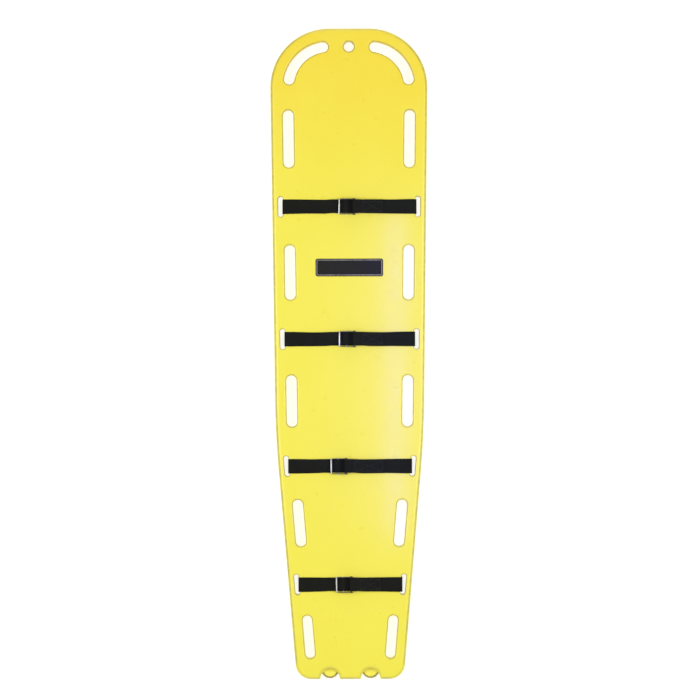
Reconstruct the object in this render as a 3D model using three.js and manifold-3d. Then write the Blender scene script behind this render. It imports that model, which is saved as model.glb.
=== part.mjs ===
// Spine board: a foam-filled plastic rescue board with carrying handholds,
// underside runners and four webbing straps, each closed by a metal friction buckle.
// Millimetres. X runs across the board, Y towards the head end, Z up.
// The origin is on the ground under the middle of the board.
import * as THREE from 'three';
import { mergeVertices } from 'three/addons/utils/BufferGeometryUtils.js';
import Module from 'manifold-3d';

const wasm = await Module();
wasm.setup();

// ---------------------------------------------------------------- driving dimensions

const gap = 0.3; // clearance between pieces that touch
const curveSteps = { hidden: 2, hole: 4, edge: 6 }; // smoothness of the hollow, holes and outer edge

const board = {
  length: 1829,
  underside: 10, // height of the flat underside above the ground
  top: 50,
  wall: 3,
  rimWall: 5, // wall around each hole, where both skins meet
  edgeRound: 12, // rounding of the outer edge, top and bottom
  headRadius: 165,
  headCentre: 56, // sideways offset of the two head corner centres
  sideTaper: 0.0126, // loss of half width per millimetre, head part
  footTaper: 0.0841, // the same, below the bend
  bend: 1140, // distance of the bend from the head end
  bendReach: 98, // the bend is rounded over this much on each side
  footRadius: 45,
};

const handholdRim = 4.5; // chamfer around each handhold
const handholds = [
  { fromHead: 310, length: 161, width: 29, inset: 49 },
  { fromHead: 685.5, length: 153, width: 29, inset: 48 },
  { fromHead: 1047, length: 144, width: 29, inset: 47 },
  { fromHead: 1390, length: 131, width: 28, inset: 45.5 },
  { fromHead: 1710, length: 120, width: 26, inset: 44 },
];
const cornerHandhold = {
  radius: 114, // of its centreline, about the head corner centre
  width: 29,
  from: THREE.MathUtils.degToRad(11.3),
  to: THREE.MathUtils.degToRad(81.4),
};
const hangHole = { fromHead: 51, radius: 14 };

const slot = { length: 57, width: 14, inset: 24, rim: 3 };

const runner = {
  offset: 57,
  width: 42,
  headEnd: 190, // distance of its first end from the head end
  strapClear: 34, // half the break that each strap passes through
  bevel: 3,
};
const scallop = { halfWidth: 27, depth: 30 }; // notch over each runner's foot end
const nose = { radius: 24.5, fromFoot: 26, top: 33 }; // runner end that shows in the notch

const web = { width: 38, thickness: 1.3 };
const straps = [
  { name: 'chest', fromHead: 501, endBar: -28, tabEnd: 96 },
  { name: 'hip', fromHead: 873, endBar: -28, tabEnd: 96 },
  { name: 'thigh', fromHead: 1230, endBar: -52, tabEnd: 96 },
  { name: 'shin', fromHead: 1562.5, endBar: -38, tabEnd: 88 },
];
const tailStop = 40; // the tucked tail ends this far short of the left slot

// Buckle: u runs from the left edge of its end bar, w up from the board's top.
const buckle = {
  halfWidth: 21.7,
  window: 20.2, // half the clear width between the side rails
  plateBottom: 2,
  metal: 1.6,
  endBar: 3.6,
  flange: 1.5,
  flangeTop: 10,
  lip: 6.6, // height of the release lip's top edge
  barU: 20,
  barW: 6.2,
  barRadius: 3,
  barNeck: 1.8,
  barTravel: 5,
  pinU: 43,
  pinRadius: 2.5,
  eyeRadius: 5.2,
  head: 1.5, // thickness of the pin and bar heads
};

// Middle height of each layer of webbing, counted away from the board's face.
const layer = (count) => gap + web.thickness / 2 + (count - 1) * (web.thickness + gap);
// The pin lies just above the second layer.
const pinHeight = layer(2) + web.thickness / 2 + gap + buckle.pinRadius;

const fillPort = { radius: 12, flange: 16, flangeThick: 1.5 };
const fillPorts = [
  { name: 'fill_plug_head', fromHead: 250 },
  { name: 'fill_plug_foot', fromHead: 1705 },
];
const ventPort = { fromHead: 1770, radius: 5, flange: 8, flangeThick: 1.2 };

const label = { fromHead: 672, length: 190, height: 50, thickness: 0.5, corner: 6 };

// ---------------------------------------------------------------- materials

const moulded = new THREE.MeshStandardMaterial({ color: 0xf5e95a, roughness: 0.42, metalness: 0 });
const foam = new THREE.MeshStandardMaterial({ color: 0xe8ddb0, roughness: 0.95, metalness: 0 });
const webbing = new THREE.MeshStandardMaterial({ color: 0x18191c, roughness: 0.85, metalness: 0 });
const plated = new THREE.MeshStandardMaterial({ color: 0xc9ccd0, roughness: 0.28, metalness: 1 });
const plugPlastic = new THREE.MeshStandardMaterial({ color: 0xe6d84f, roughness: 0.5, metalness: 0 });
const vinyl = new THREE.MeshStandardMaterial({ color: 0x1a1a1a, roughness: 0.45, metalness: 0 });

// ---------------------------------------------------------------- solids and meshes

function solid(geometry) {
  const bare = geometry.clone();
  bare.deleteAttribute('normal');
  bare.deleteAttribute('uv');
  const merged = mergeVertices(bare, 1e-4);
  return new wasm.Manifold(new wasm.Mesh({
    numProp: 3,
    vertProperties: merged.attributes.position.array,
    triVerts: new Uint32Array(merged.index.array),
  }));
}

function geometryOf(manifold) {
  const mesh = manifold.getMesh();
  const geometry = new THREE.BufferGeometry();
  geometry.setAttribute('position', new THREE.BufferAttribute(mesh.vertProperties, 3));
  geometry.setIndex(new THREE.BufferAttribute(mesh.triVerts, 1));
  geometry.computeVertexNormals();
  return geometry;
}

function piece(name, geometry, material) {
  const mesh = new THREE.Mesh(geometry, material);
  mesh.name = name;
  return mesh;
}

// An outline in the board's plane, raised from one height to another.
function upright(shapes, bottom, top, curveSegments, chamfer = null) {
  const bevel = chamfer ?? { size: 0, offset: 0, segments: 1 };
  const geometry = new THREE.ExtrudeGeometry(shapes, {
    depth: top - bottom - 2 * bevel.size,
    curveSegments,
    bevelEnabled: bevel.size > 0,
    bevelSize: bevel.size,
    bevelThickness: bevel.size,
    bevelOffset: bevel.offset,
    bevelSegments: bevel.segments,
  });
  return geometry.translate(0, 0, bottom + bevel.size);
}

// An outline drawn in the X-Z plane, extruded along Y and centred on y = 0.
function sideways(shape, width, curveSegments = curveSteps.hole) {
  const geometry = new THREE.ExtrudeGeometry(shape, { depth: width, curveSegments, bevelEnabled: false });
  return geometry.rotateX(Math.PI / 2).translate(0, width / 2, 0);
}

// ---------------------------------------------------------------- board outline

const headEdge = board.length / 2;
const atHead = (fromHead) => headEdge - fromHead;
const widest = board.headCentre + board.headRadius;
const bendHalf = widest - board.sideTaper * (board.bend - board.headRadius);

function taperAt(fromHead) {
  return fromHead < board.bend ? board.sideTaper : board.footTaper;
}

function halfWidthAt(fromHead) {
  return bendHalf + taperAt(fromHead) * (board.bend - fromHead);
}

function boardOutline() {
  const footAngle = Math.atan(board.footTaper);
  const cornerCut = board.footRadius * Math.tan((Math.PI / 2 - footAngle) / 2);
  const footCentre = halfWidthAt(board.length) - cornerCut;
  const cornerY = -headEdge + board.footRadius;
  const headY = atHead(board.headRadius);
  const above = board.bend - board.bendReach;
  const below = board.bend + board.bendReach;
  const shape = new THREE.Shape();
  shape.moveTo(-footCentre, -headEdge);
  for (const side of [-1, 1]) {
    const middle = side * runner.offset;
    shape.lineTo(middle - scallop.halfWidth, -headEdge);
    shape.absellipse(middle, -headEdge, scallop.halfWidth, scallop.depth, Math.PI, 0, true, 0);
  }
  shape.lineTo(footCentre, -headEdge);
  shape.absarc(footCentre, cornerY, board.footRadius, -Math.PI / 2, -footAngle, false);
  shape.lineTo(halfWidthAt(below), atHead(below));
  shape.quadraticCurveTo(bendHalf, atHead(board.bend), halfWidthAt(above), atHead(above));
  shape.lineTo(widest, headY);
  shape.absarc(board.headCentre, headY, board.headRadius, 0, Math.PI / 2, false);
  shape.absarc(-board.headCentre, headY, board.headRadius, Math.PI / 2, Math.PI, false);
  shape.lineTo(-halfWidthAt(above), atHead(above));
  shape.quadraticCurveTo(-bendHalf, atHead(board.bend), -halfWidthAt(below), atHead(below));
  shape.absarc(-footCentre, cornerY, board.footRadius, Math.PI + footAngle, Math.PI * 1.5, false);
  return shape;
}

// ---------------------------------------------------------------- holes through the board

// A slot with round ends. Its long axis leans with the board's edge on that side.
function leaningSlot(side, fromHead, inset, length, width) {
  const lean = -Math.atan(taperAt(fromHead)) * side;
  const centre = new THREE.Vector2(side * (halfWidthAt(fromHead) - inset), atHead(fromHead));
  const reach = (length - width) / 2;
  const along = new THREE.Vector2(-Math.sin(lean), Math.cos(lean)).multiplyScalar(reach);
  const shape = new THREE.Shape();
  shape.absarc(centre.x + along.x, centre.y + along.y, width / 2, lean, lean + Math.PI, false);
  shape.absarc(centre.x - along.x, centre.y - along.y, width / 2, lean + Math.PI, lean, false);
  return shape;
}

function cornerSlot(side, width) {
  const { radius, from, to } = cornerHandhold;
  const centre = new THREE.Vector2(side * board.headCentre, atHead(board.headRadius));
  const start = side > 0 ? from : Math.PI - to;
  const end = side > 0 ? to : Math.PI - from;
  const cap = (angle) => [centre.x + radius * Math.cos(angle), centre.y + radius * Math.sin(angle)];
  const shape = new THREE.Shape();
  shape.absarc(centre.x, centre.y, radius + width / 2, start, end, false);
  shape.absarc(...cap(end), width / 2, end, end + Math.PI, false);
  shape.absarc(centre.x, centre.y, radius - width / 2, end, start, true);
  shape.absarc(...cap(start), width / 2, start + Math.PI, start, false);
  return shape;
}

// Outlines of every handhold and of the hanging hole, drawn larger all round by a margin.
function gripShapes(grow) {
  const hole = new THREE.Shape();
  hole.absarc(0, atHead(hangHole.fromHead), hangHole.radius + grow, 0, Math.PI * 2, false);
  const shapes = [hole];
  for (const side of [-1, 1]) {
    shapes.push(cornerSlot(side, cornerHandhold.width + 2 * grow));
    for (const { fromHead, inset, length, width } of handholds) {
      shapes.push(leaningSlot(side, fromHead, inset, length + 2 * grow, width + 2 * grow));
    }
  }
  return shapes;
}

function strapSlotShapes(grow) {
  const { inset, length, width } = slot;
  const size = [length + 2 * grow, width + 2 * grow];
  const pair = ({ fromHead }) => [-1, 1].map((side) => leaningSlot(side, fromHead, inset, ...size));
  return straps.flatMap(pair);
}

// Straight cut through the board with a chamfer at both faces.
function cutHoles(body, shapes, rim) {
  const past = 5;
  const steps = curveSteps.hole;
  const flare = { size: rim, offset: 0, segments: 1 };
  const straight = solid(upright(shapes, board.underside - past, board.top + past, steps));
  const upper = solid(upright(shapes, board.top - rim, board.top + 2 * rim, steps, flare));
  const lower = solid(upright(shapes, board.underside - 2 * rim, board.underside + rim, steps, flare));
  return body.subtract(straight).subtract(upper).subtract(lower);
}

// ---------------------------------------------------------------- runners

// Straight stretches of runner between the breaks for the straps.
function runnerStretches() {
  const breaks = straps.map((strap) => strap.fromHead);
  const starts = [runner.headEnd, ...breaks.map((middle) => middle + runner.strapClear)];
  const ends = [...breaks.map((middle) => middle - runner.strapClear), board.length - nose.fromFoot];
  return starts.map((start, i) => ({ start, end: ends[i], last: i === breaks.length }));
}

// The runners' plan outlines, drawn in by a margin. Only the hollow inside stops short of the nose.
function runnerShapes(margin) {
  const half = runner.width / 2 - margin;
  const shapes = [];
  for (const side of [-1, 1]) {
    for (const stretch of runnerStretches()) {
      const x = side * runner.offset;
      const top = atHead(stretch.start + margin);
      const shortfall = stretch.last && margin > 0 ? scallop.depth + margin : margin;
      const bottom = atHead(stretch.end - shortfall);
      const shape = new THREE.Shape();
      shape.moveTo(x + half, top);
      shape.lineTo(x - half, top);
      shape.lineTo(x - half, bottom);
      shape.lineTo(x + half, bottom);
      shapes.push(shape);
    }
  }
  return shapes;
}

function noseShapes() {
  return [-1, 1].map((side) => {
    const x = side * runner.offset;
    const y = -headEdge + nose.fromFoot;
    const root = y + scallop.depth / 2;
    const shape = new THREE.Shape();
    shape.moveTo(x + nose.radius, root);
    shape.lineTo(x - nose.radius, root);
    shape.absarc(x, y, nose.radius, Math.PI, Math.PI * 2, false);
    return shape;
  });
}

// ---------------------------------------------------------------- board shell and foam core

// The hollow inside the shell, drawn in by a margin from the outer faces.
function inside(margin) {
  const coarse = curveSteps.hidden;
  const size = board.edgeRound - board.wall;
  const chamfer = { size, offset: -margin - size, segments: 1 };
  const low = board.underside + margin;
  const core = solid(upright(boardOutline(), low, board.top - margin, coarse, chamfer));
  const ribs = solid(upright(runnerShapes(margin + runner.bevel), margin, low + board.wall, coarse));
  const grow = margin - board.wall + board.rimWall;
  const columns = [...gripShapes(grow), ...strapSlotShapes(grow)];
  return core.add(ribs).subtract(solid(upright(columns, 0, board.top, coarse)));
}

function portCut(fromHead, radius) {
  const reach = 2 * board.wall;
  const cut = new THREE.CylinderGeometry(radius, radius, reach, 24);
  cut.rotateX(Math.PI / 2).translate(0, atHead(fromHead), board.underside + reach / 2 - 1);
  return solid(cut);
}

function shellGeometry() {
  const round = { size: board.edgeRound, offset: -board.edgeRound, segments: 3 };
  let body = solid(upright(boardOutline(), board.underside, board.top, curveSteps.edge, round));
  body = cutHoles(body, gripShapes(0), handholdRim);
  body = cutHoles(body, strapSlotShapes(0), slot.rim);
  const bevel = { size: runner.bevel, offset: -runner.bevel, segments: 1 };
  const into = board.underside + runner.bevel + board.wall;
  body = body.add(solid(upright(runnerShapes(0), 0, into, curveSteps.hole, bevel)));
  body = body.add(solid(upright(noseShapes(), 0, nose.top, curveSteps.hole, bevel)));
  body = body.subtract(inside(board.wall));
  for (const port of fillPorts) {
    body = body.subtract(portCut(port.fromHead, fillPort.radius));
  }
  return geometryOf(body.subtract(portCut(ventPort.fromHead, ventPort.radius)));
}

// A flanged plug pushed up into a round port in the underside.
function plugGeometry(fromHead, port) {
  const flangeTop = board.underside - gap;
  const profile = [
    [0, flangeTop - port.flangeThick],
    [port.flange - 0.8, flangeTop - port.flangeThick],
    [port.flange, flangeTop - port.flangeThick + 0.8],
    [port.flange, flangeTop],
    [port.radius - gap, flangeTop],
    [port.radius - gap, board.underside + board.wall - gap],
    [0, board.underside + board.wall - gap],
  ];
  const geometry = new THREE.LatheGeometry(profile.map(([r, z]) => new THREE.Vector2(r, z)), 24);
  return geometry.rotateX(Math.PI / 2).translate(0, atHead(fromHead), 0);
}

function labelGeometry() {
  const x = label.length / 2 - label.corner;
  const y = label.height / 2 - label.corner;
  const middle = atHead(label.fromHead);
  const shape = new THREE.Shape();
  shape.absarc(x, middle + y, label.corner, 0, Math.PI / 2, false);
  shape.absarc(-x, middle + y, label.corner, Math.PI / 2, Math.PI, false);
  shape.absarc(-x, middle - y, label.corner, Math.PI, Math.PI * 1.5, false);
  shape.absarc(x, middle - y, label.corner, Math.PI * 1.5, Math.PI * 2, false);
  return upright(shape, board.top + gap, board.top + gap + label.thickness, 3);
}

// ---------------------------------------------------------------- strap webbing

// A route through corner points [x, z, radius], each corner rounded by its radius.
function roundedRoute(corners) {
  const points = corners.map(([x, z]) => new THREE.Vector2(x, z));
  const route = [points[0]];
  const extend = (point) => {
    if (point.distanceTo(route[route.length - 1]) > 0.01) {
      route.push(point);
    }
  };
  for (let i = 1; i < points.length - 1; i += 1) {
    const before = points[i].clone().sub(points[i - 1]).normalize();
    const after = points[i + 1].clone().sub(points[i]).normalize();
    const turn = Math.atan2(before.cross(after), before.dot(after));
    const radius = corners[i][2];
    const cut = radius * Math.tan(Math.abs(turn) / 2);
    const steps = Math.max(1, Math.round(Math.abs(turn) / THREE.MathUtils.degToRad(18)));
    const start = points[i].clone().addScaledVector(before, -cut);
    const hub = new THREE.Vector2(-before.y, before.x).multiplyScalar(Math.sign(turn) * radius).add(start);
    for (let step = 0; step <= steps; step += 1) {
      extend(start.clone().rotateAround(hub, turn * step / steps));
    }
  }
  extend(points[points.length - 1]);
  return route;
}

// The outline of a strip of even thickness along a route.
function stripShape(route, thickness) {
  const near = [];
  const far = [];
  route.forEach((point, i) => {
    const before = point.clone().sub(route[Math.max(i - 1, 0)]).normalize();
    const after = route[Math.min(i + 1, route.length - 1)].clone().sub(point).normalize();
    const along = before.clone().add(after).normalize();
    const stretch = i > 0 && i < route.length - 1 ? 1 / along.dot(before) : 1;
    const normal = new THREE.Vector2(-along.y, along.x).multiplyScalar(stretch * thickness / 2);
    near.push(point.clone().add(normal));
    far.push(point.clone().sub(normal));
  });
  return new THREE.Shape([...near, ...far.reverse()]);
}

function webGeometry(strap) {
  const top = (count) => board.top + layer(count);
  const under = (count) => board.underside - layer(count);
  const lean = taperAt(strap.fromHead) * web.width / 2;
  const slotEdge = halfWidthAt(strap.fromHead) - slot.inset - slot.width / 2 + lean;
  const outside = (count) => slotEdge + layer(count);
  const turn = (count) => slot.rim + layer(count);
  const left = strap.endBar - buckle.endBar / 2;
  const pinX = left + buckle.pinU;
  const pinZ = board.top + pinHeight;
  const pinWrap = buckle.pinRadius + gap + web.thickness / 2;
  const barX = left + buckle.barU;
  const barWrap = buckle.barRadius + gap + web.thickness / 2;
  const barTop = board.top + buckle.barW + barWrap;
  const crest = 2; // half the flat of the web over the slide bar
  const climb = (barTop - top(1)) / Math.tan(2 * Math.atan(crest / barWrap));
  const tailEnd = -outside(1) + tailStop;
  const corners = [
    // sewn tab, on top of the right-hand web
    [strap.tabEnd, top(3)],
    [pinX + 20, top(3), 12],
    [pinX + 4, pinZ + pinWrap, 12],
    // loop around the pin, then the right-hand web to its slot
    [pinX - pinWrap, pinZ + pinWrap, pinWrap],
    [pinX - pinWrap, top(2), pinWrap],
    [outside(2), top(2), turn(2)],
    [outside(2), under(2), turn(2)],
    // across under the board, rising to it past the tail's end
    [tailEnd - 6, under(2), 12],
    [tailEnd - 18, under(1), 12],
    [-outside(1), under(1), turn(1)],
    [-outside(1), top(1), turn(1)],
    // under the end bar, over the slide bar, under the pin
    [barX - crest - climb, top(1), 2.4],
    [barX - crest, barTop, barWrap],
    [barX + crest, barTop, barWrap],
    [barX + crest + climb, top(1), 2.4],
    // free tail, tucked beneath the right-hand web and back under the board
    [outside(1), top(1), turn(1)],
    [outside(1), under(1), turn(1)],
    [tailEnd, under(1)],
  ];
  return sideways(stripShape(roundedRoute(corners), web.thickness), web.width);
}

// ---------------------------------------------------------------- buckle

// End bar with its rolled-up release lip, as a section along u and w.
function endBarShape() {
  const { plateBottom, metal, endBar, lip } = buckle;
  const bendOuter = metal + 0.6;
  const shape = new THREE.Shape();
  shape.moveTo(endBar, plateBottom);
  shape.lineTo(endBar, plateBottom + metal);
  shape.lineTo(bendOuter, plateBottom + metal);
  shape.absarc(bendOuter, plateBottom + bendOuter, bendOuter - metal, -Math.PI / 2, -Math.PI, true);
  shape.lineTo(metal, lip);
  shape.absarc(metal / 2, lip, metal / 2, 0, Math.PI, false);
  shape.lineTo(0, plateBottom + bendOuter);
  shape.absarc(bendOuter, plateBottom + bendOuter, bendOuter, Math.PI, Math.PI * 1.5, false);
  return shape;
}

// Side flange: it carries the slide bar's slot and ends in a round eye for the pin.
function flangeShape() {
  const { plateBottom, flangeTop, pinU, eyeRadius, barU, barW, barNeck, barTravel } = buckle;
  const slotRadius = barNeck + gap;
  const shape = new THREE.Shape();
  shape.moveTo(buckle.endBar, plateBottom);
  shape.lineTo(pinU - eyeRadius - 1, plateBottom);
  shape.lineTo(pinU - 1.5, pinHeight - eyeRadius + 0.2);
  shape.absarc(pinU, pinHeight, eyeRadius, -Math.PI / 2, Math.PI / 2, false);
  shape.lineTo(pinU - 4, flangeTop);
  shape.lineTo(buckle.endBar + 4, flangeTop);
  shape.quadraticCurveTo(buckle.endBar + 0.5, flangeTop, buckle.metal, plateBottom + buckle.metal);
  shape.lineTo(buckle.metal, plateBottom + buckle.metal / 2);
  const eye = new THREE.Path();
  eye.absarc(pinU, pinHeight, buckle.pinRadius + gap, 0, Math.PI * 2, true);
  const track = new THREE.Path();
  track.absarc(barU, barW, slotRadius, Math.PI * 1.5, Math.PI / 2, true);
  track.absarc(barU + barTravel, barW, slotRadius, Math.PI / 2, -Math.PI / 2, true);
  shape.holes = [eye, track];
  return shape;
}

function frameGeometry() {
  const { halfWidth, flange } = buckle;
  let frame = solid(sideways(endBarShape(), 2 * halfWidth, 3));
  for (const side of [-1, 1]) {
    const cheek = sideways(flangeShape(), flange, 4);
    frame = frame.add(solid(cheek.translate(0, side * (halfWidth - flange / 2), 0)));
  }
  return geometryOf(frame);
}

// Turned pieces lie along Y: half profiles [radius, distance from the middle].
function turned(halfProfile, segments) {
  const upper = halfProfile.map(([r, y]) => new THREE.Vector2(r, y));
  const lower = halfProfile.map(([r, y]) => new THREE.Vector2(r, -y)).reverse();
  return new THREE.LatheGeometry([...lower, ...upper], segments);
}

function slideBarGeometry() {
  const { barRadius, barNeck, window, halfWidth, head } = buckle;
  const outer = halfWidth + gap;
  return turned([
    [barRadius, window - 0.4],
    [barNeck, window - 0.4],
    [barNeck, outer],
    [barRadius + 0.2, outer],
    [barRadius + 0.2, outer + head - 0.4],
    [barRadius - 0.2, outer + head],
    [0, outer + head],
  ], 14);
}

function pinGeometry() {
  const { pinRadius, halfWidth, head } = buckle;
  const outer = halfWidth + gap;
  return turned([
    [pinRadius, outer],
    [pinRadius + 1.4, outer],
    [pinRadius + 1.4, outer + head - 0.6],
    [pinRadius + 0.6, outer + head],
    [0, outer + head],
  ], 14);
}

// One strap with its buckle; the buckle's pieces share a group at its end bar.
function strapGroup(strap) {
  const group = new THREE.Group();
  group.position.y = atHead(strap.fromHead);
  group.add(piece(`${strap.name}_strap_web`, webGeometry(strap), webbing));
  const fitting = new THREE.Group();
  fitting.position.set(strap.endBar - buckle.endBar / 2, 0, board.top);
  fitting.add(piece(`${strap.name}_buckle_frame`, frameGeometry(), plated));
  const bar = piece(`${strap.name}_buckle_slide_bar`, slideBarGeometry(), plated);
  bar.position.set(buckle.barU, 0, buckle.barW);
  fitting.add(bar);
  const pin = piece(`${strap.name}_buckle_pin`, pinGeometry(), plated);
  pin.position.set(buckle.pinU, 0, pinHeight);
  fitting.add(pin);
  group.add(fitting);
  return group;
}

// ---------------------------------------------------------------- assembly

const spineBoard = new THREE.Group();
spineBoard.add(piece('board_shell', shellGeometry(), moulded));
spineBoard.add(piece('foam_core', geometryOf(inside(board.wall + gap)), foam));
for (const port of fillPorts) {
  spineBoard.add(piece(port.name, plugGeometry(port.fromHead, fillPort), plugPlastic));
}
spineBoard.add(piece('vent_plug', plugGeometry(ventPort.fromHead, ventPort), plugPlastic));
spineBoard.add(piece('id_label', labelGeometry(), vinyl));
for (const strap of straps) {
  spineBoard.add(strapGroup(strap));
}

export default spineBoard;
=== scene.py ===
# Spine board: moulded shell, webbing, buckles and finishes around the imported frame.
# Metres in Blender; the shape sections work in millimetres and are scaled once at the end.
# X runs across the board, Y towards the head end, Z up.
import math

import bmesh
import bpy
import numpy as np
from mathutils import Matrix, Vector


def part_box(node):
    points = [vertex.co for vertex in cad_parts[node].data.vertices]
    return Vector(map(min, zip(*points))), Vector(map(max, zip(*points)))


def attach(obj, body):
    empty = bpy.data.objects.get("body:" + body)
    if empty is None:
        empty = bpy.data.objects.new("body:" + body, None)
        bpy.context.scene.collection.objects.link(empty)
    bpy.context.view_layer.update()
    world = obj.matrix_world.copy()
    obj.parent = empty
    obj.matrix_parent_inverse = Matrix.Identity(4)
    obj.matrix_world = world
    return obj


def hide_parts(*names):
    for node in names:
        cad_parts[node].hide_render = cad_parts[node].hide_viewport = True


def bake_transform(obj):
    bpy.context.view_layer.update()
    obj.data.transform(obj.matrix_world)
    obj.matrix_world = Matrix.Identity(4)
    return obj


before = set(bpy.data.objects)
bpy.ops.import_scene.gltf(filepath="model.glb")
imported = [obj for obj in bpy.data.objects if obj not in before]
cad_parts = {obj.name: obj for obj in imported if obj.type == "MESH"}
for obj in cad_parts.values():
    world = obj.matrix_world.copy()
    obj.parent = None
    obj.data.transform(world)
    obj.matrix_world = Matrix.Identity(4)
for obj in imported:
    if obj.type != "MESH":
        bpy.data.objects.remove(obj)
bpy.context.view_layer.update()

MM = 0.001

# ------------------------------------------------------------------ board dimensions, mm

lo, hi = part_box("board_shell")
LENGTH = (hi.y - lo.y) / MM
HEAD_EDGE = LENGTH / 2
TOP = hi.z / MM
UNDERSIDE = 10.0  # of the flat underside, above the runners' faces
EDGE_ROUND = 12.0
HEAD_RADIUS, HEAD_CENTRE = 165.0, 56.0
SIDE_TAPER, FOOT_TAPER = 0.0126, 0.0841
BEND, BEND_REACH = 1140.0, 98.0
FOOT_RADIUS = 45.0
BEND_HALF = HEAD_CENTRE + HEAD_RADIUS - SIDE_TAPER * (BEND - HEAD_RADIUS)
HAND_RIM, SLOT_RIM, NOTCH_ROUND = 6.5, 4.0, 4.0  # rounding of each kind of opening's edge
HANDHOLDS = [  # distance from the head end, length, width, inset from the board's edge
    (310, 161, 29, 49),
    (685.5, 153, 29, 48),
    (1047, 144, 29, 47),
    (1390, 131, 28, 45.5),
    (1710, 120, 26, 44),
]
CORNER_HOLD = (114.0, 29.0, math.radians(11.3), math.radians(81.4))  # radius, width, first and last angle
HANG_HOLE = (51.0, 14.0)  # distance from the head end, radius
SLOT_LENGTH, SLOT_WIDTH, SLOT_INSET = 57.0, 14.0, 24.0
STRAPS = ["chest", "hip", "thigh", "shin"]
STRAP_Y = {name: sum(b.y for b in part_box(f"{name}_strap_web")) / 2 / MM for name in STRAPS}
RUNNER_X, RUNNER_WIDTH, RUNNER_START, RUNNER_CLEAR = 57.0, 42.0, 190.0, 34.0
RUNNER_CORNER, RUNNER_BEVEL, RUNNER_SINK, RUNNER_FILLET = 7.0, 3.5, 6.0, 4.0
NOTCH_HALF, NOTCH_DEPTH = 27.0, 30.0
NOSE_RADIUS, NOSE_FROM_FOOT, NOSE_TOP = 24.5, 26.0, 33.0
NOSE_ROUND, NOSE_FILLET = 5.0, 3.0
PORTS = {"fill_plug_head": 12.0, "fill_plug_foot": 12.0, "vent_plug": 5.0}
DISH_DEPTH, DISH_REACH = 2.4, 0.74  # shallow hollow along the top: depth, and share of the half width
PARTING_HEIGHT = 30.0  # of the mould's parting line
FAR = 1e9  # stands for no distance yet


def at_head(from_head):
    return HEAD_EDGE - from_head


def taper_at(from_head):
    return SIDE_TAPER if from_head < BEND else FOOT_TAPER


def half_width_at(from_head):
    return BEND_HALF + taper_at(from_head) * (BEND - from_head)


# ------------------------------------------------------------------ distance functions, mm


def round_and(a, b, r):
    """What two shapes share, with the edge between them rounded."""
    return np.minimum(-r, np.maximum(a, b)) + np.hypot(np.maximum(a + r, 0), np.maximum(b + r, 0))


def round_or(a, b, r):
    """Two shapes joined, with a fillet between them."""
    return np.maximum(r, np.minimum(a, b)) - np.hypot(np.maximum(r - a, 0), np.maximum(r - b, 0))


def outline_points():
    """The right-hand edge of the board from foot to head, as a convex run of points."""
    foot_angle = math.atan(FOOT_TAPER)
    centre = half_width_at(LENGTH) - FOOT_RADIUS * math.tan((math.pi / 2 - foot_angle) / 2)
    points = [(-60.0, -HEAD_EDGE)]
    for a in np.linspace(-math.pi / 2, -foot_angle, 17):
        points.append((centre + FOOT_RADIUS * math.cos(a), -HEAD_EDGE + FOOT_RADIUS * (1 + math.sin(a))))
    below, above = BEND + BEND_REACH, BEND - BEND_REACH
    p0 = np.array((half_width_at(below), at_head(below)))
    p1 = np.array((BEND_HALF, at_head(BEND)))
    p2 = np.array((half_width_at(above), at_head(above)))
    for t in np.linspace(0, 1, 13):
        points.append(tuple(p0 * (1 - t) ** 2 + 2 * p1 * t * (1 - t) + p2 * t * t))
    for a in np.linspace(0, math.pi / 2, 49):
        x = HEAD_CENTRE + HEAD_RADIUS * math.cos(a)
        points.append((x, at_head(HEAD_RADIUS) + HEAD_RADIUS * math.sin(a)))
    points.append((-60.0, HEAD_EDGE))
    return np.array(points)


OUTLINE = outline_points()


def outline_distance(x, y):
    inner = np.full(np.broadcast(x, y).shape, -FAR)
    outer = np.full(inner.shape, FAR**2)
    for (ax, ay), (bx, by) in zip(OUTLINE[:-1], OUTLINE[1:]):
        dx, dy = bx - ax, by - ay
        size = math.hypot(dx, dy)
        px, py = x - ax, y - ay
        inner = np.maximum(inner, (px * dy - py * dx) / size)
        t = np.clip((px * dx + py * dy) / size**2, 0, 1)
        outer = np.minimum(outer, (px - t * dx) ** 2 + (py - t * dy) ** 2)
    return np.where(inner <= 0, inner, np.sqrt(outer))


def capsule(x, y, from_head, inset, length, width):
    lean = math.atan(taper_at(from_head))
    ux, uy = math.sin(lean), math.cos(lean)
    px, py = x - (half_width_at(from_head) - inset), y - at_head(from_head)
    reach = (length - width) / 2
    t = np.clip(px * ux + py * uy, -reach, reach)
    return np.hypot(px - t * ux, py - t * uy) - width / 2


def corner_hold(x, y):
    radius, width, start, end = CORNER_HOLD
    middle, spread = (start + end) / 2, (end - start) / 2
    px, py = x - HEAD_CENTRE, y - at_head(HEAD_RADIUS)
    u = px * math.cos(middle) + py * math.sin(middle)
    v = np.abs(py * math.cos(middle) - px * math.sin(middle))
    along = v * math.cos(spread) <= u * math.sin(spread)
    cap = np.hypot(u - radius * math.cos(spread), v - radius * math.sin(spread))
    return np.where(along, np.abs(np.hypot(u, v) - radius), cap) - width / 2


def notch(x, y):
    px, py = (x - RUNNER_X) / NOTCH_HALF, (y + HEAD_EDGE) / NOTCH_DEPTH
    k = np.hypot(px, py)
    slope = np.hypot(px / NOTCH_HALF, py / NOTCH_DEPTH)
    return k * (k - 1) / np.maximum(slope, 1e-6)


def smooth(t):
    t = np.clip(t, 0, 1)
    return t * t * (3 - 2 * t)


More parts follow.
